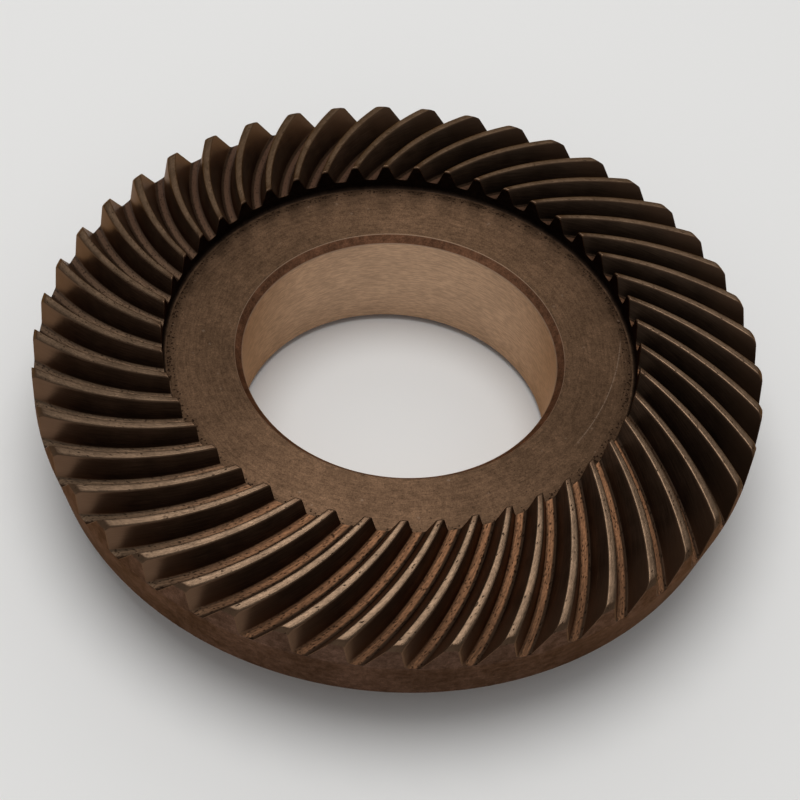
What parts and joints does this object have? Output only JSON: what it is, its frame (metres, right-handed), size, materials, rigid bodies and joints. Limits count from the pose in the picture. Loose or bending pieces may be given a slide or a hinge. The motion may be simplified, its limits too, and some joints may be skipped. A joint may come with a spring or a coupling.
{
  "type": "spiral bevel crown wheel",
  "caption": "Ring-shaped spiral bevel crown wheel with curved, tapering teeth on a shallow cone around a flat hub face and a plain ground bore, for a right-angle drive.",
  "frame": {"origin": "centre of the back face, on the bore axis", "axes": "+Z along the bore axis, from the back face to the teeth and the cone apex; +X and +Y are across, and the first tooth space is 2.7 degrees clockwise of +X in the middle of the cutter's sweep"},
  "size_m": [0.138, 0.138, 0.0293],
  "materials": {
    "steel": "case-hardened steel with a brown oily patina: face-milled teeth, turned faces, ground bore"
  },
  "bodies": {
    "root": {"crown_wheel": "steel"}
  },
  "joints": []
}
